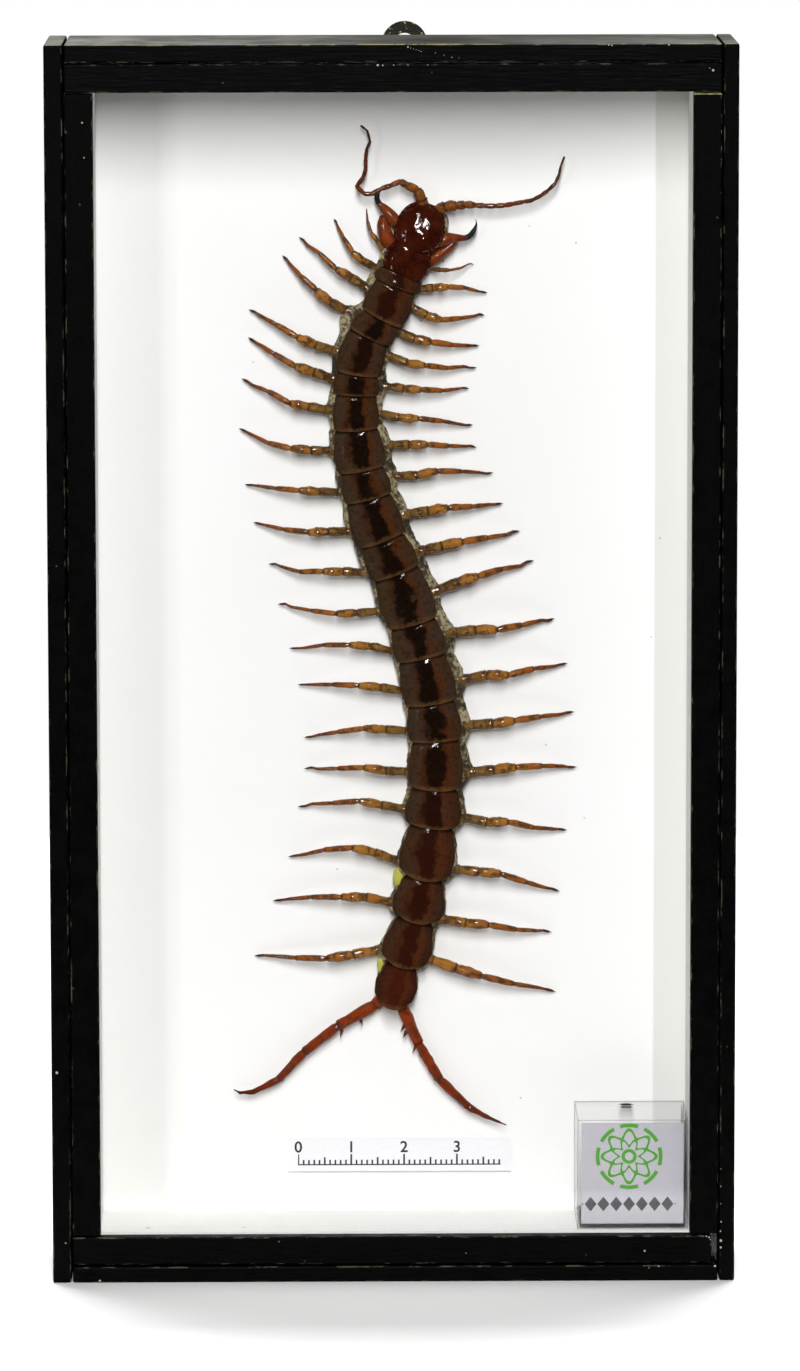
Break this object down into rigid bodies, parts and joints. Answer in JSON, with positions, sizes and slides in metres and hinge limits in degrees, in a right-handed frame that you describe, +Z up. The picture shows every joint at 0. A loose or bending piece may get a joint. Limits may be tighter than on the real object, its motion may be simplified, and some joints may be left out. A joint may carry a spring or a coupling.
{
  "type": "framed centipede",
  "caption": "Dried centipede mounted belly to the board in a small black glazed wooden case, with a paper label strip and a clear corner box.",
  "frame": {"origin": "middle of the underside, on the surface that the case stands on", "axes": "+Z up the case, +X to the viewer's right, -Y out through the glass towards the viewer"},
  "size_m": [0.127, 0.032, 0.2329],
  "materials": {
    "black_paint": "black paint, worn at the edges",
    "glass": "clear",
    "white_foam": "matte",
    "white_board": "matte white card",
    "hardboard": "bare hardboard",
    "cuticle": "glossy dried cuticle",
    "label_paper": "matte paper",
    "clear_plastic": "clear moulded plastic",
    "corner_card": "satin printed card",
    "hanger_plate": "black lacquer",
    "nail_steel": "dull steel"
  },
  "bodies": {
    "root": {"board_left": "black_paint", "board_right": "black_paint", "board_top": "black_paint", "board_bottom": "black_paint", "stick_left": "black_paint", "stick_right": "black_paint", "stick_top": "black_paint", "stick_bottom": "black_paint", "glass_pane": "glass", "foam_left": "white_foam", "foam_right": "white_foam", "foam_top": "white_foam", "foam_bottom": "white_foam", "backing_board": "white_board", "back_panel": "hardboard", "centipede": "cuticle", "label_strip": "label_paper", "corner_box": "clear_plastic", "corner_card": "corner_card", "hanger_plate": "hanger_plate", "nail_left": "nail_steel", "nail_right": "nail_steel"}
  },
  "joints": []
}
